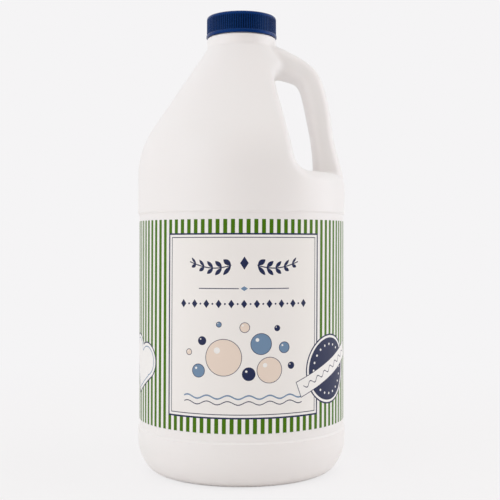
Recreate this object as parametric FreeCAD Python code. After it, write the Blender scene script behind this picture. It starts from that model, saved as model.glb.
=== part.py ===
import FreeCAD
import Part

import math
import os

# A half-gallon detergent jug: a blow-moulded bottle with a hollow handle, a ribbed screw cap,
# the foam disc inside the cap and a film label wrapped round the body.
# +Z is up, the handle is on the +X side and the middle of the label faces -Y.
# The origin is the centre of the base, on the surface that the jug stands on. Sizes are in mm.

Vector = FreeCAD.Vector
AXIS = Vector(0, 0, 1)
ORIGIN = Vector(0, 0, 0)

# bottle body
body_radius = 58.7
wall = 0.9
base_flare_angle = 33.0
base_flare_height = 11.7
base_side_radius = 23.0
base_corner_radius = 9.5
foot_width = 3.6
foot_rounding = 2.5
push_up_slope_width = 4.4
push_up_rim_height = 3.5
push_up_centre_height = 5.0
panel_depth = 0.8
panel_bottom = 24.4
panel_top = 144.9
panel_step_height = 1.0
shoulder_band = 20.0
shoulder_radius = 50.7
shoulder_slope = 34.1

# neck
collar_width = 2.1
collar_fillet = 3.0
collar_height = 6.01
collar_chamfer = 0.4
neck_radius = 17.35
neck_height = 9.9
neck_wall = 2.1
neck_lip_chamfer = 0.5
thread_depth = 1.2

# handle pocket: a scoop across the shoulder, which leaves the handle free
ledge_rise = 1.7
ledge_corner_radius = 8.8
pocket_wall_bend_share = 0.65
pocket_top_radius = 6.0
pocket_top_slope = 50.0
pocket_rim_fillet = 6.3

# corners of the pocket's wall: shares of the way out to the body's side and up from ledge to collar
pocket_wall_bottom = (0.475, 0.0)
pocket_wall_middle = (0.375, 0.362)
pocket_wall_top = (0.287, 0.733)

# handle stations: the same two shares, then tilt of the cross-section, thickness and width along Y
handle_squareness = 3.0
handle_points_per_section = 16
handle_stations = (
    (0.068, 0.927, 80.0, 14.0, 24.4),
    (0.238, 0.914, 74.0, 16.6, 25.6),
    (0.407, 0.875, 68.0, 15.4, 24.6),
    (0.507, 0.840, 60.0, 14.3, 23.4),
    (0.612, 0.789, 44.0, 13.2, 22.2),
    (0.700, 0.647, 22.0, 13.4, 21.6),
    (0.755, 0.436, 7.5, 13.3, 21.5),
    (0.787, 0.273, 10.5, 12.7, 21.5),
    (0.818, 0.123, 10.0, 14.2, 22.4),
    (0.840, 0.015, 6.0, 16.0, 24.4),
    (0.847, -0.148, 0.0, 16.0, 24.4),
)
handle_foot_fillet = 2.8
handle_root_fillet = 4.2

# screw cap
cap_gap = 0.25
thread_clearance = 0.3
cap_wall = 0.95
cap_draft = 0.25
cap_top_thickness = 1.3
cap_edge_fillet = 1.5
cap_flange_width = 0.25
cap_flange_height = 1.7
cap_flange_chamfer = 0.3
cap_mouth_chamfer = 0.3
rib_count = 96
rib_depth = 0.28
rib_crest_share = 0.4
rib_root_share = 0.7
rib_top_gap = 1.5
rib_top_slope_height = 0.6

# foam disc and label
liner_thickness = 1.0
liner_edge_clearance = 0.35
label_thickness = 0.12
label_glue = 0.03
label_foot_margin = 4.4
label_head_margin = 3.1
label_overlap_angle = 6.0

# heights and radii that follow from the sizes above
base_radius = body_radius - base_flare_height * math.tan(math.radians(base_flare_angle))
base_corner_reach = base_corner_radius * math.tan(math.radians(90 - base_flare_angle) / 2)
foot_radius = base_radius - base_corner_reach - foot_width
push_up_rim_radius = foot_radius - push_up_slope_width
panel_radius = body_radius - panel_depth
shoulder_taper = math.tan(math.radians(shoulder_slope))
shoulder_start = panel_top + shoulder_band
shoulder_corner_z = shoulder_start + shoulder_radius * math.tan(math.radians(shoulder_slope) / 2)
ledge_height = shoulder_start + ledge_rise
collar_radius = neck_radius + collar_width
collar_bottom = shoulder_corner_z + (body_radius - collar_radius) / shoulder_taper
collar_top = collar_bottom + collar_height
neck_top = collar_top + neck_height
neck_bore_radius = neck_radius - neck_wall
cap_bottom = collar_top + cap_gap
cap_bore_radius = neck_radius + thread_depth + thread_clearance
cap_ceiling = neck_top + liner_thickness
cap_top = cap_ceiling + cap_top_thickness
cap_radius = cap_bore_radius + cap_wall
label_bottom = panel_bottom + panel_step_height + label_foot_margin
label_top = panel_top - panel_step_height - label_head_margin


def shoulder_point(out, up):
    """x and z at shares of the way out to the body's side and up from the ledge to the collar."""
    return out * body_radius, ledge_height + up * (collar_bottom - ledge_height)


def corner_point(before, corner, after, shift_before, shift_after):
    """Where two neighbouring sides of an outline cross after each has moved inwards."""
    ux, uz = corner[0] - before[0], corner[1] - before[1]
    vx, vz = after[0] - corner[0], after[1] - corner[1]
    u_length, v_length = math.hypot(ux, uz), math.hypot(vx, vz)
    ux, uz, vx, vz = ux / u_length, uz / u_length, vx / v_length, vz / v_length
    px, pz = corner[0] - shift_before * uz, corner[1] + shift_before * ux
    qx, qz = corner[0] - shift_after * vz, corner[1] + shift_after * vx
    cross = ux * vz - uz * vx
    along = ((qx - px) * vz - (qz - pz) * vx) / cross
    return px + along * ux, pz + along * uz, cross


def outline_face(corners, inset=0.0):
    """Face in the XZ plane from (x, z, radius) corners listed counter-clockwise.

    Every side off the axis moves inwards by the inset, and the corner radii follow it.
    """
    count = len(corners)
    shifts = []
    for i, corner in enumerate(corners):
        after = corners[(i + 1) % count]
        on_axis = corner[0] == 0 and after[0] == 0
        shifts.append(0.0 if on_axis else inset)
    points, radii = [], []
    for i, corner in enumerate(corners):
        after = corners[(i + 1) % count]
        x, z, turn = corner_point(corners[i - 1], corner, after, shifts[i - 1], shifts[i])
        points.append(Vector(x, 0, z))
        change = -inset if turn > 0 else inset
        radii.append(max(corner[2] + change, 0.0) if corner[2] > 0 else 0.0)
    starts, edges, ends = [], [], []
    for i, corner in enumerate(points):
        to_before = (points[i - 1] - corner).normalize()
        to_after = (points[(i + 1) % count] - corner).normalize()
        half = to_before.getAngle(to_after) / 2
        reach = radii[i] / math.tan(half)
        starts.append(corner + to_before * reach)
        ends.append(corner + to_after * reach)
        middle_way = (to_before + to_after).normalize()
        middle = corner + middle_way * (radii[i] / math.sin(half) - radii[i])
        edges.append([Part.Arc(starts[i], middle, ends[i]).toShape()] if reach > 0 else [])
    wire = []
    for i in range(count):
        wire += edges[i]
        following = starts[(i + 1) % count]
        if (following - ends[i]).Length > 1e-6:
            wire.append(Part.LineSegment(ends[i], following).toShape())
    return Part.Face(Part.Wire(wire))


def lathe(corners, inset=0.0):
    """A turned solid, with its seam at the back."""
    face = outline_face(corners, inset)
    face.rotate(ORIGIN, AXIS, 90)
    return face.revolve(ORIGIN, AXIS, 360)


def body_corners():
    """The body's outline from the centre of the base up to the corner of the shoulder."""
    return [
        (0.0, push_up_centre_height, 0.0),
        (push_up_rim_radius, push_up_rim_height, 0.0),
        (foot_radius, 0.0, foot_rounding),
        (base_radius, 0.0, base_corner_radius),
        (body_radius, base_flare_height, base_side_radius),
        (body_radius, panel_bottom, 0.0),
        (panel_radius, panel_bottom + panel_step_height, 0.0),
        (panel_radius, panel_top - panel_step_height, 0.0),
        (body_radius, panel_top, 0.0),
        (body_radius, shoulder_corner_z, shoulder_radius),
    ]


def outer_body():
    """The turned outside of the bottle with its collar and plain neck."""
    neck = [
        (collar_radius, collar_bottom, collar_fillet),
        (collar_radius, collar_top - collar_chamfer, 0.0),
        (collar_radius - collar_chamfer, collar_top, 0.0),
        (neck_radius, collar_top, 0.0),
        (neck_radius, neck_top - neck_lip_chamfer, 0.0),
        (neck_radius - neck_lip_chamfer, neck_top, 0.0),
        (0.0, neck_top, 0.0),
    ]
    return lathe(body_corners() + neck)


def inner_body():
    """The turned hollow: the same outline moved in by the wall, and the open bore of the neck."""
    cone_tip = shoulder_corner_z + body_radius / shoulder_taper
    hollow = lathe(body_corners() + [(0.0, cone_tip, 0.0)], wall)
    below_top = hollow.common(Part.makeCylinder(body_radius, neck_top))
    bore = Part.makeCylinder(neck_bore_radius, neck_height + collar_height, Vector(0, 0, collar_bottom))
    return below_top.fuse(bore)


def bend_radius(start, middle, end, share):
    """Radius that spreads the bend at the middle point over a share of the side before it."""
    before = Vector(middle[0] - start[0], 0, middle[1] - start[1])
    after = Vector(end[0] - middle[0], 0, end[1] - middle[1])
    return share * before.Length / math.tan(before.getAngle(after) / 2)


def pocket(grow):
    """The scoop beside the handle, as a prism along Y that is larger all round by the growth."""
    outside = 2 * body_radius
    bottom = shoulder_point(*pocket_wall_bottom)
    middle = shoulder_point(*pocket_wall_middle)
    top = shoulder_point(*pocket_wall_top)
    rise = (outside - top[0]) * math.tan(math.radians(pocket_top_slope))
    corners = [
        (*bottom, ledge_corner_radius),
        (outside, ledge_height, 0.0),
        (outside, top[1] + rise, 0.0),
        (*top, pocket_top_radius),
        (*middle, bend_radius(bottom, middle, top, pocket_wall_bend_share)),
    ]
    face = outline_face(corners, -grow)
    face.translate(Vector(0, -outside, 0))
    return face.extrude(Vector(0, 2 * outside, 0))


def lies_on(edge, surface):
    """True when the middle of an edge is on the surface."""
    middle = edge.valueAt((edge.FirstParameter + edge.LastParameter) / 2)
    return Part.Vertex(middle).distToShape(surface)[0] < 1e-3


def shared_edges(solid, first, second):
    """Edges of a solid along which the surfaces of two other solids meet."""
    return [edge for edge in solid.Edges if lies_on(edge, first.Shells[0]) and lies_on(edge, second.Shells[0])]


def scooped(body, grow):
    """A body with the scoop cut out of it and the scoop's rim rolled over."""
    scoop = pocket(grow)
    cut = body.cut(scoop)
    return cut.makeFillet(pocket_rim_fillet - grow, shared_edges(cut, body, scoop))


def handle_section(station, inset):
    """Closed rounded-square curve across the handle at one station."""
    out, up, tilt, thickness, width = station
    x, z = shoulder_point(out, up)
    tilt = math.radians(tilt)
    across = Vector(math.cos(tilt), 0, math.sin(tilt))
    power = 2 / handle_squareness
    points = []
    for i in range(handle_points_per_section):
        angle = 2 * math.pi * i / handle_points_per_section
        c, s = math.cos(angle), math.sin(angle)
        outwards = math.copysign(abs(c) ** power, c) * (thickness / 2 - inset)
        sideways = math.copysign(abs(s) ** power, s) * (width / 2 - inset)
        points.append(Vector(x, 0, z) + across * outwards + Vector(0, sideways, 0))
    curve = Part.BSplineCurve()
    curve.interpolate(Points=points, PeriodicFlag=True)
    return Part.Wire([curve.toShape()])


def handle(inset):
    """The handle's solid through all its stations, with both ends buried in the body."""
    return Part.makeLoft([handle_section(station, inset) for station in handle_stations], True, False)


def round_handle(bottle, body, bar):
    """The bottle with soft fillets where the handle's ends run into the body."""
    joints = shared_edges(bottle, body, bar)
    middle = (ledge_height + collar_top) / 2
    foot = [edge for edge in joints if edge.BoundBox.ZMax < middle]
    rounded = bottle.makeFillet(handle_foot_fillet, foot)
    root = [edge for edge in shared_edges(rounded, body, bar) if edge.BoundBox.ZMin > middle]
    return rounded.makeFillet(handle_root_fillet, root)


def make_bottle():
    """Blow-moulded bottle: body, hollow handle and neck in one piece."""
    body = scooped(outer_body(), 0.0)
    bar = handle(0.0)
    outside = round_handle(body.fuse(bar), body, bar)
    hollow = scooped(inner_body(), wall).fuse(handle(wall))
    return outside.cut(hollow)


def rib():
    """One rib on the +X side: it leans with the cap's draft, and its top slopes into the skirt."""
    foot = cap_bottom + cap_flange_height - cap_flange_chamfer
    height = cap_top - rib_top_gap - foot
    pitch = 2 * math.pi * cap_radius / rib_count
    root = cap_radius - 2 * rib_depth
    half_crest = rib_crest_share * pitch / 2
    half_root = half_crest + (rib_root_share - rib_crest_share) * pitch
    corners = [
        Vector(root, -half_root, foot),
        Vector(cap_radius, -half_crest, foot),
        Vector(cap_radius, half_crest, foot),
        Vector(root, half_root, foot),
    ]
    section = Part.Face(Part.makePolygon(corners + corners[:1]))
    lean = cap_draft / (cap_top - cap_bottom)
    bar = section.extrude(Vector(-lean, 0, 1) * height)
    top = foot + height
    slope = [
        Vector(root, 0, top),
        Vector(root, 0, top + pitch),
        Vector(cap_radius + rib_depth, 0, top + pitch),
        Vector(cap_radius + rib_depth, 0, top - 2 * rib_top_slope_height),
    ]
    cutter = Part.Face(Part.makePolygon(slope + slope[:1]))
    cutter.translate(Vector(0, -pitch, 0))
    return bar.cut(cutter.extrude(Vector(0, 2 * pitch, 0)))


def make_cap():
    """Ribbed screw cap with a plain rim at the bottom."""
    flange_radius = cap_radius + cap_flange_width
    flange_top = cap_bottom + cap_flange_height
    mouth_radius = cap_bore_radius + cap_mouth_chamfer
    core_radius = cap_radius - rib_depth
    plain = lathe([
        (mouth_radius, cap_bottom, 0.0),
        (flange_radius - cap_flange_chamfer, cap_bottom, 0.0),
        (flange_radius, cap_bottom + cap_flange_chamfer, 0.0),
        (flange_radius, flange_top - cap_flange_chamfer, 0.0),
        (flange_radius - cap_flange_chamfer, flange_top, 0.0),
        (core_radius, flange_top, 0.0),
        (core_radius - cap_draft, cap_top, cap_edge_fillet),
        (0.0, cap_top, 0.0),
        (0.0, cap_ceiling, 0.0),
        (cap_bore_radius, cap_ceiling, 0.0),
        (cap_bore_radius, cap_bottom + cap_mouth_chamfer, 0.0),
    ])
    ribs = []
    for i in range(rib_count):
        copy = rib()
        copy.rotate(ORIGIN, AXIS, 360 * (i + 0.5) / rib_count)
        ribs.append(copy)
    return plain.fuse(ribs)


def make_liner():
    """Foam disc that the cap presses on the neck's lip."""
    return Part.makeCylinder(cap_bore_radius - liner_edge_clearance, liner_thickness, Vector(0, 0, neck_top))


def film_ring(inner_radius, angle):
    """A layer of label film that reaches through an angle, centred on the back."""
    height = label_top - label_bottom
    outer = Part.makeCylinder(inner_radius + label_thickness, height, Vector(0, 0, label_bottom), AXIS, angle)
    inner = Part.makeCylinder(inner_radius, height, Vector(0, 0, label_bottom), AXIS, angle)
    ring = outer.cut(inner)
    ring.rotate(ORIGIN, AXIS, 90 - angle / 2)
    return ring


def make_label():
    """Label film once round the panel, with its ends lapped at the back."""
    film_radius = panel_radius + label_glue
    lap = film_ring(film_radius + label_thickness, label_overlap_angle)
    return film_ring(film_radius, 360).fuse(lap)


def main():
    os.makedirs("parts", exist_ok=True)
    nodes = {
        "bottle": make_bottle(),
        "cap": make_cap(),
        "cap_liner": make_liner(),
        "label": make_label(),
    }
    for name, shape in nodes.items():
        shape = shape.Solids[0]
        shape.exportStep(f"parts/{name}.step")
        print(name, "valid" if shape.isValid() else "not valid", round(shape.Volume, 1), "mm3")


main()
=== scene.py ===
import math

import bpy
import numpy as np
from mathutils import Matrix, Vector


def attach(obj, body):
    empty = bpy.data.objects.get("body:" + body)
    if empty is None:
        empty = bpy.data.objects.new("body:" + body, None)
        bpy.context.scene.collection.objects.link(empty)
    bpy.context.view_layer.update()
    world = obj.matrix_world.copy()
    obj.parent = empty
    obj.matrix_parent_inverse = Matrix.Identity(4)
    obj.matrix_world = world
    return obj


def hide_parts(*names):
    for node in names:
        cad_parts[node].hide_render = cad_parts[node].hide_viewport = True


# A half-gallon laundry detergent jug: a white bottle with a hollow handle, a ribbed navy screw cap
# with a foam disc inside it, and a printed film label wrapped round the body.
# +Z is up, the handle is at +X and the middle of the label faces -Y. Sizes are in mm and angles in
# degrees where no comment says otherwise.

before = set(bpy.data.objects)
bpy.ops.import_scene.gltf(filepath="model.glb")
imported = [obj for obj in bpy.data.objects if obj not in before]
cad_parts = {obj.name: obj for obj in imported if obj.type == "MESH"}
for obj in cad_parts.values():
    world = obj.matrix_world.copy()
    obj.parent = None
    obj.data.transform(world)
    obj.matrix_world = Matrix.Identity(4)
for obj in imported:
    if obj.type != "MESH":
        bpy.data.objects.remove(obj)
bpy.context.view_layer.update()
mm = 0.001
sharpAngle = 35                # an edge that turns more than this stays crisp


def linearColour(hexText):
    # sRGB hex to linear: a channel up to 0.04045 is divided by 12.92, a higher one is
    # (channel + 0.055) / 1.055 to the power 2.4
    channel = np.array([int(hexText[i:i + 2], 16) for i in (1, 3, 5)]) / 255
    linear = np.where(channel <= 0.04045, channel / 12.92, ((channel + 0.055) / 1.055) ** 2.4)
    return (*linear.tolist(), 1.0)


def addNode(tree, kind, settings=None, inputs=None):
    # settings are the node's own properties; an input takes a value, or a link from an output
    node = tree.nodes.new(kind)
    for name, value in (settings or {}).items():
        setattr(node, name, value)
    for key, value in (inputs or {}).items():
        if isinstance(value, bpy.types.NodeSocket):
            tree.links.new(value, node.inputs[key])
        else:
            node.inputs[key].default_value = value
    return node


def newMaterial(name):
    # a material whose node tree is still empty, and that tree
    material = bpy.data.materials.new(name)
    material.use_nodes = True
    material.node_tree.nodes.clear()
    return material, material.node_tree


def smoothStep(x):
    # 3 x squared minus 2 x cubed, with x held between 0 and 1
    x = np.clip(x, 0, 1)
    return x * x * (3 - 2 * x)


def roundedProfile(corners, steps):
    # each corner (r, z, radius) gives way to the parabola that leaves its two sides where a circle
    # of that radius would touch them, at radius * tan(turn / 2) from the corner
    spots = np.array([corner[:2] for corner in corners], float)
    pieces = [spots[:1]]
    t = np.linspace(0, 1, steps + 1)[:, None]
    for i in range(1, len(corners) - 1):
        before, after = spots[i - 1] - spots[i], spots[i + 1] - spots[i]
        before, after = before / np.linalg.norm(before), after / np.linalg.norm(after)
        turn = math.pi - math.acos(float(np.clip(before @ after, -1, 1)))
        cut = corners[i][2] * math.tan(turn / 2)
        if cut < 1e-6:
            pieces.append(spots[i:i + 1])
            continue
        start, end = spots[i] + before * cut, spots[i] + after * cut
        pieces.append((1 - t) ** 2 * start + 2 * t * (1 - t) * spots[i] + t ** 2 * end)
    pieces.append(spots[-1:])
    return np.concatenate(pieces)


def gridShell(points, firstPole=None, lastPole=None, capped=False):
    # points[i, j] is the surface at row i and column j, and each row closes into a loop; each quad
    # joins columns j, j + 1 of rows i, i + 1, a pole closes an end row with a fan, and a capped end
    # row becomes one face
    rows, columns = points.shape[:2]
    index = np.arange(rows * columns).reshape(rows, columns)
    index = np.concatenate([index, index[:, :1]], axis=1)
    quads = np.stack([index[:-1, :-1], index[:-1, 1:], index[1:, 1:], index[1:, :-1]], -1)
    faces = quads.reshape(-1, 4).tolist()
    vertices = points.reshape(-1, 3)
    for pole, row, order in ((firstPole, index[0], (1, 0)), (lastPole, index[-1], (0, 1))):
        if pole is not None:
            fan = np.stack([row[:-1], row[1:]], -1)[:, list(order)]
            tip = np.full((len(fan), 1), len(vertices))
            faces += np.concatenate([fan, tip], axis=1).tolist()
            vertices = np.concatenate([vertices, [pole]])
    if capped:
        faces += [index[0, :-1][::-1].tolist(), index[-1, :-1].tolist()]
    return vertices, faces


def ring(radius, height, angle):
    # the point at a radius, a height and an angle in radians, which is 0 at -Y and grows towards +X
    radius, height, angle = np.broadcast_arrays(radius, height, angle)
    return np.stack([radius * np.sin(angle), -radius * np.cos(angle), height], -1)


def fullCircle(columns):
    # even angles round the axis, as one row
    return np.linspace(0, 2 * math.pi, columns, endpoint=False)[None]


def makePiece(name, shells, material, uv=None):
    # joins the shells in one mesh; a shell whose enclosed volume, the sum of a . (b x c) / 6 over
    # its faces' first three corners, comes out negative is turned inside out
    vertices, faces, count = [], [], 0
    for points, polygons in shells:
        corners = [points[[polygon[k] for polygon in polygons]] for k in range(3)]
        volume = np.einsum("ij,ij->", corners[0], np.cross(corners[1], corners[2])) / 6
        step = -1 if volume < 0 else 1
        faces += [[corner + count for corner in polygon][::step] for polygon in polygons]
        vertices.append(points)
        count += len(points)
    mesh = bpy.data.meshes.new(name)
    mesh.from_pydata((np.concatenate(vertices) * mm).tolist(), [], faces)
    if uv is not None:
        corner = np.empty(len(mesh.loops), np.int32)
        mesh.loops.foreach_get("vertex_index", corner)
        mesh.uv_layers.new(name="pieceMap").data.foreach_set("uv", uv[corner].astype(np.float32).ravel())
    mesh.polygons.foreach_set("use_smooth", np.ones(len(mesh.polygons), bool))
    mesh.set_sharp_from_angle(angle=math.radians(sharpAngle))
    mesh.materials.append(material)
    mesh.validate()
    piece = bpy.data.objects.new(name, mesh)
    bpy.context.scene.collection.objects.link(piece)
    return piece


jug = {
    "colour": "#f6f5f4",
    "warmColour": "#f7f3f3",
    "patch": 45.0,             # size of the faint colour clouds
    "roughness": 0.36,
    "ior": 1.54,
    "subsurface": 0.12,
    "scatterDepth": 2.0,
    "scatterShares": (1.0, 0.9, 0.85),  # of that depth, for red, green and blue
    "grain": 0.9,              # blasted mould texture, drawn coarse enough to show
    "grainHeight": 0.006,
    "sag": 16.0,               # slow waves left by cooling
    "sagHeight": 0.05,
    "partingWidth": 0.4,       # line where the mould halves met, in the plane of the handle
    "partingHeight": 0.10,
}


def blowMouldedPolyethylene():
    # high-density polyethylene, blow moulded: waxy satin white that lets light a little way in,
    # with a fine blasted grain, slow waves and the line of the two mould halves
    material, tree = newMaterial("whiteBlowMouldedHdpe")
    place = addNode(tree, "ShaderNodeTexCoord").outputs["Object"]
    clouds = addNode(tree, "ShaderNodeTexNoise", None, {
        "Vector": place, "Scale": 1 / (jug["patch"] * mm), "Detail": 2.0})
    tint = addNode(tree, "ShaderNodeMix", {"data_type": "RGBA"}, {
        0: clouds.outputs["Fac"], 6: linearColour(jug["colour"]), 7: linearColour(jug["warmColour"])})
    grain = addNode(tree, "ShaderNodeTexNoise", None, {
        "Vector": place, "Scale": 1 / (jug["grain"] * mm), "Detail": 1.0})
    waves = addNode(tree, "ShaderNodeTexNoise", None, {
        "Vector": place, "Scale": 1 / (jug["sag"] * mm), "Detail": 0.0})
    parts = addNode(tree, "ShaderNodeSeparateXYZ", None, {0: place})
    away = addNode(tree, "ShaderNodeMath", {"operation": "ABSOLUTE"}, {0: parts.outputs["Y"]})
    line = addNode(tree, "ShaderNodeMapRange", {"interpolation_type": "SMOOTHSTEP"}, {
        "Value": away.outputs[0], "From Min": 0.0, "From Max": jug["partingWidth"] / 2 * mm,
        "To Min": 1.0, "To Max": 0.0})
    bumpWaves = addNode(tree, "ShaderNodeBump", None, {
        "Strength": 1.0, "Distance": jug["sagHeight"] * mm, "Height": waves.outputs["Fac"]})
    bumpGrain = addNode(tree, "ShaderNodeBump", None, {
        "Strength": 1.0, "Distance": jug["grainHeight"] * mm, "Height": grain.outputs["Fac"],
        "Normal": bumpWaves.outputs[0]})
    bumpLine = addNode(tree, "ShaderNodeBump", None, {
        "Strength": 1.0, "Distance": jug["partingHeight"] * mm, "Height": line.outputs[0],
        "Normal": bumpGrain.outputs[0]})
    surface = addNode(tree, "ShaderNodeBsdfPrincipled", None, {
        "Base Color": tint.outputs[2], "Roughness": jug["roughness"], "IOR": jug["ior"],
        "Subsurface Weight": jug["subsurface"], "Subsurface Radius": jug["scatterShares"],
        "Subsurface Scale": jug["scatterDepth"] * mm, "Normal": bumpLine.outputs[0]})
    addNode(tree, "ShaderNodeOutputMaterial", None, {0: surface.outputs[0]})
    return material


whitePlastic = blowMouldedPolyethylene()
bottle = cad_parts["bottle"]
bottle.data.materials.clear()
bottle.data.materials.append(whitePlastic)
print("bottle: waxy white finish set")

thread = {
    "lead": 4.2333,            # rise for each turn
    "rootWidth": 2.2,
    "crestWidth": 0.7,
    "runOut": 0.15,            # turns over which the ridge sinks away at each end
    "sunk": 0.25,              # depth of its foot inside the wall that carries it
    "backDepth": 0.1,          # and of its back below the foot
    "sections": 144,           # for each turn
    "stations": (-1, -.8, -.62, -.45, -.3, 0, .3, .45, .62, .8, 1),  # across, in half root widths
    "neckRadius": 17.35,
    "neckCrest": 18.5,
    "neckStart": 246.95,
    "neckTurns": 1.2,
    "capRadius": 18.85,
    "capCrest": 17.7,
    "capStart": 246.83,
    "capTurns": 1.1,
}


def threadRidge(wallRadius, crestRadius, startHeight, turns, startTurn):
    # along the helix the height is start + lead * turn; across it the radius goes from the foot
    # to the crest by a smooth step over the flank, times a smooth step of the run-out at both ends
    turn = np.linspace(0, turns, int(turns * thread["sections"]) + 1)[:, None]
    half = thread["rootWidth"] / 2
    across = half * np.array([thread["stations"]])
    flank = (thread["rootWidth"] - thread["crestWidth"]) / 2
    rise = smoothStep((half - np.abs(across)) / flank)
    fade = smoothStep(np.minimum(turn, turns - turn) / thread["runOut"])
    outward = math.copysign(1, crestRadius - wallRadius)
    foot = wallRadius - outward * thread["sunk"]
    front = foot + (crestRadius - foot) * rise * fade
    back = np.full_like(front, foot - outward * thread["backDepth"])[:, 1:-1]
    radius = np.concatenate([front, back], axis=1)
    across = np.concatenate([across, across[:, -2:0:-1]], axis=1)
    height = startHeight + thread["lead"] * turn + across
    return gridShell(ring(radius, height, 2 * math.pi * (startTurn + turn)), capped=True)


neckThread = makePiece("neckThread", [threadRidge(
    thread["neckRadius"], thread["neckCrest"], thread["neckStart"], thread["neckTurns"], 0)], whitePlastic)
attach(neckThread, "jug")
print("neck thread: one ridge of", thread["neckTurns"], "turns")

cap = {
    "mouth": 244.68,           # height of the lower edge
    "top": 256.63,
    "ceiling": 255.33,
    "bore": 18.85,
    "skirt": 19.8,             # radius over the ribs, at the foot
    "skirtTop": 19.75,
    "flange": 20.05,
    "flangeHeight": 1.7,
    "mouthBevel": 0.35,        # at the bore
    "rimBevel": 0.25,          # at the flange
    "rimRadius": 0.12,
    "flangeRadius": 0.25,
    "flangeSlope": 0.45,       # height over which the flange falls back to the skirt
    "edgeRadius": 1.5,
    "ceilingRadius": 0.4,
    "ceilingRing": 6.0,        # radii of rings that divide the flat faces
    "topRings": (9.0, 4.0),
    "ribs": 96,
    "ribDepth": 0.34,
    "ribShares": (0.1, 0.34),  # of the pitch, from the rib's middle to where its crest and foot end
    "ribColumns": (-.42, -.31, -.22, -.14, -.05, .05, .14, .22, .31, .42),  # in shares of the pitch
    "ribFoot": 0.05,           # above the flange, where the ribs begin
    "ribFootSlope": 0.4,
    "ribTop": 255.13,          # height at which the ribs have died out
    "ribSlope": 0.6,
    "colour": "#092e68",
    "grooveShadeColour": "#03112a",   # painted shade down between the ribs
    "roughness": (0.21, 0.34), # in the glossy and in the dull spots
    "specular": 0.8,
    "glossTint": "#5c9dff",    # the gloss looks blue: part of it comes back out of the plastic
    "ior": 1.3,                # low, so that the edges don't turn grey
    "flow": 7.0,               # slow unevenness of the moulded faces
    "flowHeight": 0.02,
    "haze": 0.7,               # grain of the dull and glossy spots
    "hazeRange": (0.3, 0.7),   # nearly all of its noise lies in it
}


def capShell():
    # the profile's radius round the axis, less the rib depth times one minus the rib: the rib is
    # a smooth step down from its crest to its foot, and dies out at both ends; how deep each point
    # lies between the ribs, from 0 to 1, goes along to the colour, which darkens there as painted
    # shade; each corner of the profile has a radius, a height and a rounding
    mouth, flangeTop = cap["mouth"], cap["mouth"] + cap["flangeHeight"]
    profile = roundedProfile([
        (cap["ceilingRing"], cap["ceiling"], 0),
        (cap["bore"], cap["ceiling"], cap["ceilingRadius"]),
        (cap["bore"], mouth + cap["mouthBevel"], 0.1),
        (cap["bore"] + cap["mouthBevel"], mouth, cap["rimRadius"]),
        (cap["flange"] - cap["rimBevel"], mouth, cap["rimRadius"]),
        (cap["flange"], mouth + cap["rimBevel"], cap["rimRadius"]),
        (cap["flange"], flangeTop + 0.1 - cap["flangeSlope"], cap["flangeRadius"]),
        (cap["skirt"], flangeTop + 0.1, 0.2),
        (cap["skirt"], flangeTop + cap["ribFoot"] + cap["ribFootSlope"], 0),
        (cap["skirtTop"], cap["ribTop"] - cap["ribSlope"], 0),
        (cap["skirtTop"], cap["ribTop"] - cap["ribSlope"] / 2, 0),
        (cap["skirtTop"], cap["ribTop"], 0),
        (cap["skirtTop"], cap["top"], cap["edgeRadius"]),
        (cap["topRings"][0], cap["top"], 0),
        (cap["topRings"][1], cap["top"], 0),
    ], steps=6)
    radius, height = profile[:, :1], profile[:, 1:]
    column = np.array(cap["ribColumns"])
    angle = 2 * math.pi * (np.arange(cap["ribs"])[:, None] + column).reshape(1, -1) / cap["ribs"]
    crest, foot = cap["ribShares"]
    rib = smoothStep((foot - np.abs(np.tile(column, cap["ribs"]))) / (foot - crest))[None]
    outside = (radius > (cap["bore"] + cap["flange"]) / 2) & (height > flangeTop)
    reach = outside * smoothStep((height - flangeTop - cap["ribFoot"]) / cap["ribFootSlope"])
    reach = reach * smoothStep((cap["ribTop"] - height) / cap["ribSlope"])
    groove = reach * (1 - rib)
    points = ring(radius - cap["ribDepth"] * groove, height, angle)
    shell = gridShell(points, firstPole=(0, 0, cap["ceiling"]), lastPole=(0, 0, cap["top"]))
    return shell, groove.ravel()


def mouldedPolypropylene():
    # polypropylene, injection moulded: deep navy, half glossy, with faint dull spots and flow waves,
    # and with painted shade that darkens it down between the ribs
    material, tree = newMaterial("navyMouldedPolypropylene")
    place = addNode(tree, "ShaderNodeTexCoord").outputs["Object"]
    haze = addNode(tree, "ShaderNodeTexNoise", None, {
        "Vector": place, "Scale": 1 / (cap["haze"] * mm), "Detail": 2.0})
    gloss = addNode(tree, "ShaderNodeMapRange", None, {
        "Value": haze.outputs["Fac"], "From Min": cap["hazeRange"][0], "From Max": cap["hazeRange"][1],
        "To Min": cap["roughness"][0], "To Max": cap["roughness"][1]})
    flow = addNode(tree, "ShaderNodeTexNoise", None, {
        "Vector": place, "Scale": 1 / (cap["flow"] * mm), "Detail": 1.0})
    bump = addNode(tree, "ShaderNodeBump", None, {
        "Strength": 1.0, "Distance": cap["flowHeight"] * mm, "Height": flow.outputs["Fac"]})
    depth = addNode(tree, "ShaderNodeSeparateXYZ", None, {
        0: addNode(tree, "ShaderNodeUVMap", {"uv_map": "pieceMap"}).outputs[0]})
    # painted shade: the colour darkens with how deep the point lies between the ribs
    shade = addNode(tree, "ShaderNodeMix", {"data_type": "RGBA"}, {
        0: depth.outputs["X"], 6: linearColour(cap["colour"]), 7: linearColour(cap["grooveShadeColour"])})
    surface = addNode(tree, "ShaderNodeBsdfPrincipled", None, {
        "Base Color": shade.outputs[2], "Roughness": gloss.outputs[0], "IOR": cap["ior"],
        "Specular IOR Level": cap["specular"], "Specular Tint": linearColour(cap["glossTint"]),
        "Normal": bump.outputs[0]})
    addNode(tree, "ShaderNodeOutputMaterial", None, {0: surface.outputs[0]})
    return material


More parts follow.
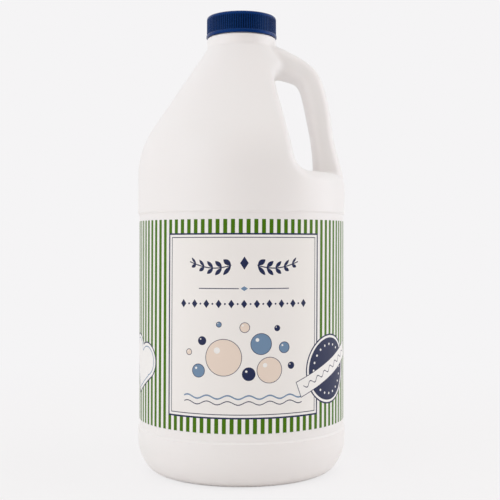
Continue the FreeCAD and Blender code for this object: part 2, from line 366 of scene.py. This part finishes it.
# the cap's ridge starts half a turn on from where the neck's ridge is as high, and so runs in the
# middle between two turns of the neck's thread
capThread = threadRidge(thread["capRadius"], thread["capCrest"], thread["capStart"], thread["capTurns"],
                        (thread["capStart"] - thread["neckStart"]) / thread["lead"] + 0.5)
ribbedShell, groove = capShell()
capUv = np.zeros((len(ribbedShell[0]) + len(capThread[0]), 2))
# the groove depth goes into the map to drive the painted shade between the ribs
capUv[:len(groove), 0] = groove
screwCap = makePiece("screwCap", [ribbedShell, capThread], mouldedPolypropylene(), uv=capUv)
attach(screwCap, "closure")
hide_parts("cap")
print("screw cap:", cap["ribs"], "ribs,", len(screwCap.data.polygons), "faces")

foam = {
    "radius": 18.5,
    "bottom": 254.33,
    "top": 255.33,
    "edge": 0.15,
    "columns": 144,
    "rings": 44,               # on the lower face; the upper one has every fourth of them
    "innerRing": 3.0,
    "lip": (15.4, 17.2),       # radii of the neck's lip, which presses a shallow ring into the foam
    "lipSlope": 0.7,
    "bulge": 0.12,
    "colour": "#f1f0ec",
    "shade": 0.93,             # painted shade: brightness in the hollow middle of a cell
    "roughness": 0.75,
    "ior": 1.5,
    "cell": 0.55,              # width of a foam cell
    "cellHeight": 0.05,
    "cellReach": 0.7,          # of a cell's width, from its middle to its wall
}


def foamShell():
    # the lower face hangs down by the bulge times a smooth step away from the ring of the lip
    flat = np.linspace(foam["innerRing"], foam["radius"] - foam["edge"], foam["rings"])
    upper = flat[::-4]
    ringDistance = np.maximum(foam["lip"][0] - flat, flat - foam["lip"][1])
    lower = foam["bottom"] - foam["bulge"] * smoothStep(ringDistance / foam["lipSlope"])
    radius = np.concatenate([flat, [foam["radius"], foam["radius"]], upper])
    height = np.concatenate([lower, [foam["bottom"], foam["top"] - foam["edge"]],
                             np.full(len(upper), foam["top"])])
    points = ring(radius[:, None], height[:, None], fullCircle(foam["columns"]))
    return gridShell(points, firstPole=(0, 0, lower[0]), lastPole=(0, 0, foam["top"]))


def expandedFoam():
    # polyethylene, expanded and die cut: matt off-white with small round cells, darker in their hollow
    # middles as painted shade
    material, tree = newMaterial("whiteExpandedFoam")
    place = addNode(tree, "ShaderNodeTexCoord").outputs["Object"]
    cells = addNode(tree, "ShaderNodeTexVoronoi", None, {
        "Vector": place, "Scale": 1 / (foam["cell"] * mm)})
    # painted shade: darker towards the hollow middle of each cell
    shade = addNode(tree, "ShaderNodeMapRange", None, {
        "Value": cells.outputs["Distance"], "From Min": 0.0, "From Max": foam["cellReach"],
        "To Min": foam["shade"], "To Max": 1.0})
    tone = addNode(tree, "ShaderNodeHueSaturation", None, {
        "Value": shade.outputs[0], "Color": linearColour(foam["colour"])})
    bump = addNode(tree, "ShaderNodeBump", None, {
        "Strength": 1.0, "Distance": foam["cellHeight"] * mm, "Height": cells.outputs["Distance"]})
    surface = addNode(tree, "ShaderNodeBsdfPrincipled", None, {
        "Base Color": tone.outputs[0], "Roughness": foam["roughness"], "IOR": foam["ior"],
        "Normal": bump.outputs[0]})
    addNode(tree, "ShaderNodeOutputMaterial", None, {0: surface.outputs[0]})
    return material


foamDisc = makePiece("foamDisc", [foamShell()], expandedFoam())
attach(foamDisc, "disc")
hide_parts("cap_liner")
print("foam disc:", len(foamDisc.data.polygons), "faces")

label = {
    "radius": 57.93,           # inner face
    "thickness": 0.12,
    "bottom": 29.8,
    "top": 140.8,
    "edge": 0.02,              # strip beside each edge, which keeps the shading of the face even
    "sections": 733,           # round the jug
    "lap": 6.0,                # degrees, at the back
    "lapLift": 0.132,          # the end rises over the start
    "lapRunUp": 2.5,           # degrees before the lap
    "lapSlope": 2.0,           # degrees
    "stripes": 91,             # round the jug
    "greenShare": 0.525,
    "printTop": 140.3,         # the film's upper edge stays white
    "printLean": 0.4,          # degrees, the stripes lean a little
    "printShift": 0.35,
    "frameHalfWidth": 43.1,
    "frameBottom": 37.4,
    "frameTop": 133.06,
    "sideMargin": 1.1,         # white beside the frame
    "frameLine": 0.85,
    "frameGap": 1.17,
    "innerLine": 0.42,
    "heart": (-73.0, 59.0),    # arc and height of its middle
    "heartTurn": -15.0,
    "heartSize": 14.6,
    "heartLine": 0.7,
    "heartRing": (-2.8, -2.3), # inner line, from the outline
    "badge": (53.6, 60.6),
    "badgeRadius": 18.7,
    "badgeRing": (-2.0, -0.8),
    "dotCount": 20,
    "dotCircle": 13.2,         # radius of the ring of dots
    "dotRadius": 0.62,
    "bannerTurn": 21.5,
    "bannerHalf": (25.3, 4.5),
    "bannerLine": 0.4,
    "bannerWave": (6.0, 1.1, 0.28),  # length, height and half thickness
    "bannerWaveHalf": (21.3, 3.0),
    "white": "#f5f4f4",
    "panel": "#f4f2f1",
    "green": "#427209",
    "navy": "#1f2b55",
    "innerLineColour": "#363d58",
    "cream": "#ecdcd0",
    "slate": "#7390b0",
    "roughness": 0.42,
    "specular": 0.26,
    "glossTint": "#fff0b0",    # the ink's varnish is a little yellow
    "ior": 1.49,
    "wrinkle": 28.0,           # slow unevenness of the film
    "wrinkleHeight": 0.04,
}
label["arc"] = 2 * math.pi * (label["radius"] + label["thickness"])  # once round the outer face


def filmShell():
    # a strip of 360 degrees plus the lap; its radius steps up by its own thickness before the end
    # that lies on the start, and the section is an upright rectangle; the print map runs from 0 to 1
    # along and up the strip, and slides back with height by the tangent of the lean
    half = 180 + label["lap"] / 2
    turn = np.linspace(-half, half, label["sections"])[:, None]
    lapStart = half - label["lap"] - label["lapRunUp"]
    inner = label["radius"] + label["lapLift"] * smoothStep((turn - lapStart) / label["lapSlope"])
    outer = inner + label["thickness"]
    bottom, top, edge = label["bottom"], label["top"], label["edge"]
    radius = np.concatenate([inner, outer, outer, outer, outer, inner], axis=1)
    height = np.array([[bottom, bottom, bottom + edge, top - edge, top, top]]) + 0 * turn
    up = (height - bottom) / (top - bottom)
    lean = math.tan(math.radians(label["printLean"])) * (top - bottom) / (label["arc"] * half / 180)
    uv = np.stack([turn / (2 * half) + 0.5 - lean * (up - 0.5), up], -1)
    return gridShell(ring(radius, height, np.radians(turn)), capped=True), uv.reshape(-1, 2)


def paintBand(tree, under, distance, nearest, farthest, colour):
    # the colour goes where the distance lies between the two limits
    band = addNode(tree, "ShaderNodeMath", {"operation": "COMPARE"}, {
        0: distance, 1: (nearest + farthest) / 2, 2: (farthest - nearest) / 2})
    return addNode(tree, "ShaderNodeMix", {"data_type": "RGBA"}, {
        0: band.outputs[0], 6: under, 7: linearColour(label[colour])}).outputs[2]


def paintShape(tree, under, distance, colour, grown=0.0):
    # the colour goes wherever the distance is less than grown, as far in as 99
    return paintBand(tree, under, distance, -99.0, grown, colour)


def centredPlace(tree, place, centre, turn=0.0):
    # moves the print's origin to a centre and turns its axes by an angle
    return addNode(tree, "ShaderNodeMapping", {"vector_type": "TEXTURE"}, {
        "Vector": place, "Location": (*centre, 0), "Rotation": (0, 0, math.radians(turn))}).outputs[0]


def discDistance(tree, place, centre, radius):
    # the way to the centre, less the radius
    away = addNode(tree, "ShaderNodeVectorMath", {"operation": "DISTANCE"}, {0: place, 1: (*centre, 0)})
    return addNode(tree, "ShaderNodeMath", {"operation": "SUBTRACT"}, {
        0: away.outputs["Value"], 1: radius}).outputs[0]


def boxDistance(tree, place, half):
    # the larger of |x| - half width and |y| - half height
    folded = addNode(tree, "ShaderNodeVectorMath", {"operation": "ABSOLUTE"}, {0: place})
    less = addNode(tree, "ShaderNodeVectorMath", {"operation": "SUBTRACT"}, {
        0: folded.outputs[0], 1: (*half, 0)})
    parts = addNode(tree, "ShaderNodeSeparateXYZ", None, {0: less.outputs[0]})
    return addNode(tree, "ShaderNodeMath", {"operation": "MAXIMUM"}, {
        0: parts.outputs["X"], 1: parts.outputs["Y"]}).outputs[0]


def diamondDistance(tree, place, half):
    # |x| / half width + |y| / half height - 1
    folded = addNode(tree, "ShaderNodeVectorMath", {"operation": "ABSOLUTE"}, {0: place})
    total = addNode(tree, "ShaderNodeVectorMath", {"operation": "DOT_PRODUCT"}, {
        0: folded.outputs[0], 1: (1 / half[0], 1 / half[1], 0)})
    return addNode(tree, "ShaderNodeMath", {"operation": "SUBTRACT"}, {
        0: total.outputs["Value"], 1: 1.0}).outputs[0]


def heartDistance(tree, place, size):
    # the nearer of a square on its corner, (|x| + |y| - size) / root 2, and a disc on its side,
    # centred at half the size out and up with a radius of size / root 2
    share = math.sqrt(0.5)
    parts = addNode(tree, "ShaderNodeSeparateXYZ", None, {0: place})
    across = addNode(tree, "ShaderNodeMath", {"operation": "ABSOLUTE"}, {0: parts.outputs["X"]})
    upright = addNode(tree, "ShaderNodeMath", {"operation": "ABSOLUTE"}, {0: parts.outputs["Y"]})
    total = addNode(tree, "ShaderNodeMath", {"operation": "ADD"}, {
        0: across.outputs[0], 1: upright.outputs[0]})
    square = addNode(tree, "ShaderNodeMath", {"operation": "MULTIPLY_ADD"}, {
        0: total.outputs[0], 1: share, 2: -size * share})
    folded = addNode(tree, "ShaderNodeCombineXYZ", None, {0: across.outputs[0], 1: parts.outputs["Y"]})
    lobe = discDistance(tree, folded.outputs[0], (size / 2, size / 2), size * share)
    return addNode(tree, "ShaderNodeMath", {"operation": "MINIMUM"}, {
        0: square.outputs[0], 1: lobe}).outputs[0]


def waveDistance(tree, place, length, height, half):
    # |y - height * sine of x over the wavelength|, or the way to the box round the wave if that
    # is larger
    parts = addNode(tree, "ShaderNodeSeparateXYZ", None, {0: place})
    phase = addNode(tree, "ShaderNodeMath", {"operation": "MULTIPLY"}, {
        0: parts.outputs["X"], 1: 2 * math.pi / length})
    sine = addNode(tree, "ShaderNodeMath", {"operation": "SINE"}, {0: phase.outputs[0]})
    lift = addNode(tree, "ShaderNodeMath", {"operation": "MULTIPLY_ADD"}, {
        0: sine.outputs[0], 1: -height, 2: parts.outputs["Y"]})
    aside = addNode(tree, "ShaderNodeMath", {"operation": "ABSOLUTE"}, {0: lift.outputs[0]})
    return addNode(tree, "ShaderNodeMath", {"operation": "MAXIMUM"}, {
        0: aside.outputs[0], 1: boxDistance(tree, place, half)}).outputs[0]


ornament = {
    "sprigHeight": 119.0,      # stem of the two leafy sprigs at the top
    "sprigReach": 31.0,
    "sprigArch": 4.0,
    "sprigMiddle": 4.0,        # leaf pitches from the label's middle to the sprig's
    "sprigHalf": 2.5,          # leaf pitches, half the sprig's length
    "stem": 0.3,
    "leafPitch": 4.5,
    "leafLength": 3.1,
    "leafWidth": 1.3,
    "leafSeat": 0.78,          # leaf lengths from the stem to the leaf's middle
    "leafTurn": 45.0,
    "leafFrom": 4.0,           # from here to the reach the leaves shrink
    "leafSizes": (1.0, 0.5),
    "topGem": (0.0, 117.6),
    "topGemHalf": (2.2, 3.4),
    "divider": (0.0, 104.5),
    "dividerHalf": (24.0, 0.22),
    "dividerGap": (2.9, 1.9),
    "dividerGem": (1.9, 1.25),
    "gemRow": (0.0, 96.6),     # diamonds with dots between
    "gemRowHalf": (35.5, 3.0),
    "gemPitch": 6.6,
    "gemHalf": (1.6, 2.2),
    "gemDot": 0.5,
    "bubbleLine": 0.32,
    "shine": (-0.36, 0.38, 0.17),  # place and radius of a bubble's bright spot, in its own radii
    "bubbles": [               # arc, height, radius and fill
        (-10.5, 69.0, 9.6, "cream"),
        (9.0, 76.0, 5.6, "slate"),
        (13.5, 62.5, 6.8, "cream"),
        (2.6, 60.6, 3.5, "navy"),
        (21.5, 74.0, 3.0, "slate"),
        (-24.0, 62.0, 3.6, "slate"),
        (-22.0, 77.5, 2.3, "navy"),
        (0.4, 84.5, 2.7, "cream"),
        (25.5, 64.5, 1.9, "navy"),
        (-29.5, 71.5, 1.7, "cream"),
        (17.5, 84.0, 1.6, "navy"),
        (-13.0, 86.0, 1.5, "slate"),
    ],
    "waves": [(48.6, "slate", 0.4), (45.6, "navy", 0.25)],  # height, colour and half thickness
    "waveShape": (11.0, 0.9),  # length and height
    "waveHalf": (32.0, 4.0),
}


def paintSprigs(tree, colour, place):
    # mirrored about the middle; the stem is an arch, and each pitch along it has a leaf on both
    # sides, tilted: |across| / width + (along / length) squared is up to 1, with both less towards
    # the tip; beyond the sprig's ends 9 is added, so that nothing is painted there
    pitch = ornament["leafPitch"]
    parts = addNode(tree, "ShaderNodeSeparateXYZ", None, {0: place})
    reach = addNode(tree, "ShaderNodeMath", {"operation": "ABSOLUTE"}, {0: parts.outputs["X"]})
    swing = addNode(tree, "ShaderNodeMath", {"operation": "MULTIPLY"}, {
        0: reach.outputs[0], 1: math.pi / ornament["sprigReach"]})
    sine = addNode(tree, "ShaderNodeMath", {"operation": "SINE"}, {0: swing.outputs[0]})
    lifted = addNode(tree, "ShaderNodeMath", {"operation": "MULTIPLY_ADD"}, {
        0: sine.outputs[0], 1: ornament["sprigArch"], 2: parts.outputs["Y"]})
    above = addNode(tree, "ShaderNodeMath", {"operation": "SUBTRACT"}, {
        0: lifted.outputs[0], 1: ornament["sprigHeight"]})
    aside = addNode(tree, "ShaderNodeMath", {"operation": "ABSOLUTE"}, {0: above.outputs[0]})
    inside = addNode(tree, "ShaderNodeMath", {"operation": "COMPARE"}, {
        0: reach.outputs[0], 1: ornament["sprigMiddle"] * pitch, 2: ornament["sprigHalf"] * pitch})
    outside = addNode(tree, "ShaderNodeMath", {"operation": "MULTIPLY_ADD"}, {
        0: inside.outputs[0], 1: -9.0, 2: 9.0})
    stem = addNode(tree, "ShaderNodeMath", {"operation": "ADD"}, {
        0: aside.outputs[0], 1: outside.outputs[0]})
    colour = paintShape(tree, colour, stem.outputs[0], "navy", ornament["stem"])
    cell = addNode(tree, "ShaderNodeMath", {"operation": "WRAP"}, {
        0: reach.outputs[0], 1: pitch / 2, 2: -pitch / 2})
    size = addNode(tree, "ShaderNodeMapRange", None, {
        "Value": reach.outputs[0], "From Min": ornament["leafFrom"], "From Max": ornament["sprigReach"],
        "To Min": ornament["leafSizes"][0], "To Max": ornament["leafSizes"][1]})
    seat = addNode(tree, "ShaderNodeMath", {"operation": "MULTIPLY"}, {
        0: size.outputs[0], 1: ornament["leafSeat"] * ornament["leafLength"]})
    raised = addNode(tree, "ShaderNodeMath", {"operation": "SUBTRACT"}, {
        0: aside.outputs[0], 1: seat.outputs[0]})
    spot = addNode(tree, "ShaderNodeCombineXYZ", None, {0: cell.outputs[0], 1: raised.outputs[0]})
    slant = centredPlace(tree, spot.outputs[0], (0, 0), ornament["leafTurn"])
    slantParts = addNode(tree, "ShaderNodeSeparateXYZ", None, {0: slant})
    along = addNode(tree, "ShaderNodeMath", {"operation": "DIVIDE"}, {
        0: slantParts.outputs["X"], 1: size.outputs[0]})
    wide = addNode(tree, "ShaderNodeMath", {"operation": "DIVIDE"}, {
        0: slantParts.outputs["Y"], 1: size.outputs[0]})
    square = addNode(tree, "ShaderNodeMath", {"operation": "MULTIPLY"}, {
        0: along.outputs[0], 1: along.outputs[0]})
    thin = addNode(tree, "ShaderNodeMath", {"operation": "ABSOLUTE"}, {0: wide.outputs[0]})
    lengthShare = addNode(tree, "ShaderNodeMath", {"operation": "MULTIPLY"}, {
        0: square.outputs[0], 1: 1 / ornament["leafLength"] ** 2})
    bothShares = addNode(tree, "ShaderNodeMath", {"operation": "MULTIPLY_ADD"}, {
        0: thin.outputs[0], 1: 1 / ornament["leafWidth"], 2: lengthShare.outputs[0]})
    leaf = addNode(tree, "ShaderNodeMath", {"operation": "ADD"}, {
        0: bothShares.outputs[0], 1: outside.outputs[0]})
    return paintShape(tree, colour, leaf.outputs[0], "navy", 1.0)


def paintPanel(tree, colour, place):
    # the middle of the panel: sprigs, a divider, a row of diamonds, bubbles and two waves; the row
    # repeats one pitch, folded about its middle, and each of its shapes stops at the row's box
    colour = paintSprigs(tree, colour, place)
    gem = diamondDistance(tree, centredPlace(tree, place, ornament["topGem"]), ornament["topGemHalf"])
    colour = paintShape(tree, colour, gem, "navy")
    middle = centredPlace(tree, place, ornament["divider"])
    colour = paintShape(tree, colour, boxDistance(tree, middle, ornament["dividerHalf"]), "navy")
    colour = paintShape(tree, colour, diamondDistance(tree, middle, ornament["dividerGap"]), "panel")
    colour = paintShape(tree, colour, diamondDistance(tree, middle, ornament["dividerGem"]), "slate")
    row = centredPlace(tree, place, ornament["gemRow"])
    within = boxDistance(tree, row, ornament["gemRowHalf"])
    parts = addNode(tree, "ShaderNodeSeparateXYZ", None, {0: row})
    cell = addNode(tree, "ShaderNodeMath", {"operation": "WRAP"}, {
        0: parts.outputs["X"], 1: ornament["gemPitch"] / 2, 2: -ornament["gemPitch"] / 2})
    fold = addNode(tree, "ShaderNodeMath", {"operation": "ABSOLUTE"}, {0: cell.outputs[0]})
    spot = addNode(tree, "ShaderNodeCombineXYZ", None, {0: fold.outputs[0], 1: parts.outputs["Y"]})
    gems = diamondDistance(tree, spot.outputs[0], ornament["gemHalf"])
    dots = discDistance(tree, spot.outputs[0], (ornament["gemPitch"] / 2, 0), ornament["gemDot"])
    for shapes in (gems, dots):
        kept = addNode(tree, "ShaderNodeMath", {"operation": "MAXIMUM"}, {0: shapes, 1: within})
        colour = paintShape(tree, colour, kept.outputs[0], "navy")
    aside, above, share = ornament["shine"]
    for arc, height, radius, fill in ornament["bubbles"]:
        edge = discDistance(tree, place, (arc, height), radius)
        colour = paintShape(tree, colour, edge, fill)
        colour = paintBand(tree, colour, edge, -ornament["bubbleLine"], 0.0, "navy")
        shine = discDistance(tree, place, (arc + aside * radius, height + above * radius), share * radius)
        colour = paintShape(tree, colour, shine, "white")
    for height, fill, thick in ornament["waves"]:
        wave = waveDistance(tree, centredPlace(tree, place, (0, height)), *ornament["waveShape"],
                            ornament["waveHalf"])
        colour = paintShape(tree, colour, wave, fill, thick)
    return colour


def paintBadge(tree, colour, place):
    # disc with rings and a ring of pale dots, whose way round is the bearing times the ring's
    # radius; then the banner across it with a wave along it
    badge = discDistance(tree, place, label["badge"], label["badgeRadius"])
    colour = paintShape(tree, colour, badge, "navy")
    colour = paintBand(tree, colour, badge, *label["badgeRing"], "white")
    parts = addNode(tree, "ShaderNodeSeparateXYZ", None, {0: centredPlace(tree, place, label["badge"])})
    bearing = addNode(tree, "ShaderNodeMath", {"operation": "ARCTAN2"}, {
        0: parts.outputs["X"], 1: parts.outputs["Y"]})
    cell = addNode(tree, "ShaderNodeMath", {"operation": "WRAP"}, {
        0: bearing.outputs[0], 1: math.pi / label["dotCount"], 2: -math.pi / label["dotCount"]})
    wayRound = addNode(tree, "ShaderNodeMath", {"operation": "MULTIPLY"}, {
        0: cell.outputs[0], 1: label["dotCircle"]})
    spot = addNode(tree, "ShaderNodeCombineXYZ", None, {0: wayRound.outputs[0], 1: badge})
    dots = discDistance(tree, spot.outputs[0], (0, label["dotCircle"] - label["badgeRadius"]),
                        label["dotRadius"])
    colour = paintShape(tree, colour, dots, "white")
    tilted = centredPlace(tree, place, label["badge"], label["bannerTurn"])
    banner = boxDistance(tree, tilted, label["bannerHalf"])
    colour = paintShape(tree, colour, banner, "navy")
    colour = paintShape(tree, colour, banner, "white", -label["bannerLine"])
    length, height, thick = label["bannerWave"]
    wave = waveDistance(tree, tilted, length, height, label["bannerWaveHalf"])
    return paintShape(tree, colour, wave, "navy", thick)


def printedFilm():
    # polypropylene film, printed and laminated: half-matt and even, with crisp fields of ink
    material, tree = newMaterial("printedPolypropyleneFilm")
    length = label["arc"] * (360 + label["lap"]) / 360
    place = addNode(tree, "ShaderNodeMapping", None, {
        "Vector": addNode(tree, "ShaderNodeUVMap", {"uv_map": "pieceMap"}).outputs[0],
        "Location": (label["printShift"] - length / 2, label["bottom"], 0),
        "Scale": (length, label["top"] - label["bottom"], 0)}).outputs[0]
    parts = addNode(tree, "ShaderNodeSeparateXYZ", None, {0: place})
    count = addNode(tree, "ShaderNodeMath", {"operation": "MULTIPLY"}, {
        0: parts.outputs["X"], 1: label["stripes"] / label["arc"]})
    stripe = addNode(tree, "ShaderNodeMath", {"operation": "FLOORED_MODULO"}, {
        0: count.outputs[0], 1: 1.0}).outputs[0]
    half = label["greenShare"] / 2
    colour = paintBand(tree, linearColour(label["white"]), stripe, 0.5 - half, 0.5 + half, "green")
    colour = paintBand(tree, colour, parts.outputs["Y"], label["printTop"], label["top"] + 1, "white")
    heart = heartDistance(tree, centredPlace(tree, place, label["heart"], label["heartTurn"]),
                          label["heartSize"])
    colour = paintShape(tree, colour, heart, "navy")
    colour = paintShape(tree, colour, heart, "white", -label["heartLine"])
    colour = paintBand(tree, colour, heart, *label["heartRing"], "slate")
    framePlace = centredPlace(tree, place, (0, (label["frameBottom"] + label["frameTop"]) / 2))
    halfWidth, halfHeight = label["frameHalfWidth"], (label["frameTop"] - label["frameBottom"]) / 2
    margin = boxDistance(tree, framePlace, (halfWidth + label["sideMargin"], halfHeight))
    colour = paintShape(tree, colour, margin, "white")
    edge = boxDistance(tree, framePlace, (halfWidth, halfHeight))
    depth = 0.0
    for width, fill in ((label["frameLine"], "navy"), (label["frameGap"], "white"),
                        (label["innerLine"], "innerLineColour"), (0.0, "panel")):
        colour = paintShape(tree, colour, edge, fill, -depth)
        depth += width
    colour = paintPanel(tree, colour, place)
    colour = paintBadge(tree, colour, place)
    wrinkles = addNode(tree, "ShaderNodeTexNoise", None, {
        "Vector": place, "Scale": 1 / label["wrinkle"], "Detail": 1.0})
    bump = addNode(tree, "ShaderNodeBump", None, {
        "Strength": 1.0, "Distance": label["wrinkleHeight"] * mm, "Height": wrinkles.outputs["Fac"]})
    surface = addNode(tree, "ShaderNodeBsdfPrincipled", None, {
        "Base Color": colour, "Roughness": label["roughness"], "IOR": label["ior"],
        "Specular IOR Level": label["specular"], "Specular Tint": linearColour(label["glossTint"]),
        "Normal": bump.outputs[0]})
    addNode(tree, "ShaderNodeOutputMaterial", None, {0: surface.outputs[0]})
    return material


film, filmUv = filmShell()
wrapLabel = makePiece("wrapLabel", [film], printedFilm(), uv=filmUv)
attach(wrapLabel, "jug")
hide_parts("label")
print("label:", label["stripes"], "stripes round the jug")

studio = {
    "backColour": "#f5f4f5",   # what the camera sees behind and below the jug
    "paperColour": "#f8f6f5",  # the floor's own
    "floorRadius": 1600.0,
    "floorRings": 12,
    "floorColumns": 96,
    "floorBlend": 0.2,         # how much of the floor's own light and shadow shows
    "floorFade": (0.12, 0.55), # metres from the axis, over which that share goes to nothing
    "ambient": 0.85,           # glow of the tent all round
    "gapGlow": 0.07,           # and in its opening, beside the camera
    "gapBearing": 25.7,        # from -Y towards +X
    "gapEdges": (41.0, 26.0),  # from the middle of the opening: full glow, least glow
    "tentColour": "#fefdfc",
    "warmTentColour": "#fff5ea",   # round the opening
    "lampColour": "#f0f5ff",
    "lamps": [                 # name, bearing and height, watts, size in metres
        ("leftBox", -52.0, 20.0, 1.7, 0.9),
        ("rightBox", 88.0, 8.0, 3.5, 0.9),
        ("topBox", 0.0, 68.0, 0.7, 0.8),
    ],
    "lampAway": 1.0,           # metres from the middle of the jug
    "lampMiddle": 0.13,        # metres above the floor
}


def palePaper():
    # plain pale paper: lit normally, but for the camera mostly the backdrop's own colour, and
    # wholly so far from the jug, so that no horizon shows
    material, tree = newMaterial("palePaper")
    ray = addNode(tree, "ShaderNodeLightPath")
    place = addNode(tree, "ShaderNodeTexCoord").outputs["Object"]
    away = addNode(tree, "ShaderNodeVectorMath", {"operation": "LENGTH"}, {0: place})
    own = addNode(tree, "ShaderNodeMapRange", {"interpolation_type": "SMOOTHSTEP"}, {
        "Value": away.outputs["Value"], "From Min": studio["floorFade"][0],
        "From Max": studio["floorFade"][1], "To Min": 1 - studio["floorBlend"], "To Max": 1.0})
    share = addNode(tree, "ShaderNodeMath", {"operation": "MULTIPLY"}, {
        0: own.outputs[0], 1: ray.outputs["Is Camera Ray"]})
    lit = addNode(tree, "ShaderNodeBsdfDiffuse", None, {"Color": linearColour(studio["paperColour"])})
    plain = addNode(tree, "ShaderNodeEmission", None, {
        "Color": linearColour(studio["backColour"]), "Strength": 1.0})
    mixed = addNode(tree, "ShaderNodeMixShader", None, {
        0: share.outputs[0], 1: lit.outputs[0], 2: plain.outputs[0]})
    addNode(tree, "ShaderNodeOutputMaterial", None, {0: mixed.outputs[0]})
    return material


def floorShell():
    # rings round the axis at growing radii, the share of the way out to the power 1.5, at height 0
    radius = studio["floorRadius"] * np.linspace(0.05, 1, studio["floorRings"])[:, None] ** 1.5
    vertices, faces = gridShell(ring(radius, 0.0, fullCircle(studio["floorColumns"])), firstPole=(0, 0, 0))
    return vertices, [face[::-1] for face in faces]


floor = makePiece("floor", [floorShell()], palePaper())


def softTent():
    # a white tent all round; its glow goes by a smooth step of the cosine of the angle from the
    # middle of the opening, down to the opening's own, and its colour warms towards the opening
    world = bpy.data.worlds.new("softTent")
    bpy.context.scene.world = world
    world.use_nodes = True
    tree = world.node_tree
    tree.nodes.clear()
    turn = math.radians(studio["gapBearing"])
    fullGlow, leastGlow = [math.cos(math.radians(edge)) for edge in studio["gapEdges"]]
    towardsGap = addNode(tree, "ShaderNodeVectorMath", {"operation": "DOT_PRODUCT"}, {
        0: addNode(tree, "ShaderNodeTexCoord").outputs["Generated"],
        1: (math.sin(turn), -math.cos(turn), 0)})
    glow = addNode(tree, "ShaderNodeMapRange", {"interpolation_type": "SMOOTHSTEP"}, {
        "Value": towardsGap.outputs["Value"], "From Min": fullGlow, "From Max": leastGlow,
        "To Min": studio["ambient"], "To Max": studio["gapGlow"]})
    warmth = addNode(tree, "ShaderNodeMapRange", None, {
        "Value": towardsGap.outputs["Value"], "From Min": 0.0, "From Max": fullGlow})
    tentColour = addNode(tree, "ShaderNodeMix", {"data_type": "RGBA"}, {
        0: warmth.outputs[0], 6: linearColour(studio["tentColour"]),
        7: linearColour(studio["warmTentColour"])})
    tent = addNode(tree, "ShaderNodeBackground", None, {
        "Color": tentColour.outputs[2], "Strength": glow.outputs[0]})
    backdrop = addNode(tree, "ShaderNodeBackground", None, {
        "Color": linearColour(studio["backColour"]), "Strength": 1.0})
    ray = addNode(tree, "ShaderNodeLightPath")
    allSides = addNode(tree, "ShaderNodeMixShader", None, {
        0: ray.outputs["Is Camera Ray"], 1: tent.outputs[0], 2: backdrop.outputs[0]})
    addNode(tree, "ShaderNodeOutputWorld", None, {0: allSides.outputs[0]})


def aimAt(thing, place, target):
    # stands the thing at its place with its -Z axis towards the target
    thing.location = place
    thing.rotation_euler = (target - place).to_track_quat("-Z", "Y").to_euler()
    bpy.context.scene.collection.objects.link(thing)


def softBox(name, bearing, rise, power, size):
    # a square lamp on a sphere round the middle of the jug, which points at that middle
    turn, lift = math.radians(bearing), math.radians(rise)
    middle = Vector((0, 0, studio["lampMiddle"]))
    lamp = bpy.data.lights.new(name, "AREA")
    lamp.energy, lamp.size, lamp.color = power, size, linearColour(studio["lampColour"])[:3]
    direction = Vector((
        math.cos(lift) * math.sin(turn), -math.cos(lift) * math.cos(turn), math.sin(lift)))
    aimAt(bpy.data.objects.new(name, lamp), middle + studio["lampAway"] * direction, middle)


softTent()
for lampRow in studio["lamps"]:
    softBox(*lampRow)

camera = {
    "lens": 70.19,
    "sensor": 36.0,
    "clip": (0.01, 50.0),      # metres
    "distance": 0.5577,        # metres from the axis
    "height": 0.1253,          # metres
    "bearing": 1.6,            # round the jug
    "aimAside": 0.00486,       # metres from the axis to the middle of the picture
    "aimHeight": 0.1242,       # metres
}


def photoCamera():
    # at half the jug's height, the distance back along the bearing, and aimed at a point that
    # lies aside of the axis, square to the bearing
    sine, cosine = math.sin(math.radians(camera["bearing"])), math.cos(math.radians(camera["bearing"]))
    eye = Vector((-camera["distance"] * sine, -camera["distance"] * cosine, camera["height"]))
    aim = Vector((camera["aimAside"] * cosine, -camera["aimAside"] * sine, camera["aimHeight"]))
    lens = bpy.data.cameras.new("camera")
    lens.lens, lens.sensor_width = camera["lens"], camera["sensor"]
    lens.clip_start, lens.clip_end = camera["clip"]
    viewer = bpy.data.objects.new("camera", lens)
    aimAt(viewer, eye, aim)
    return viewer


bpy.context.scene.camera = photoCamera()
bpy.context.scene.view_settings.view_transform = "Standard"
print("studio: floor, tent light and camera set")
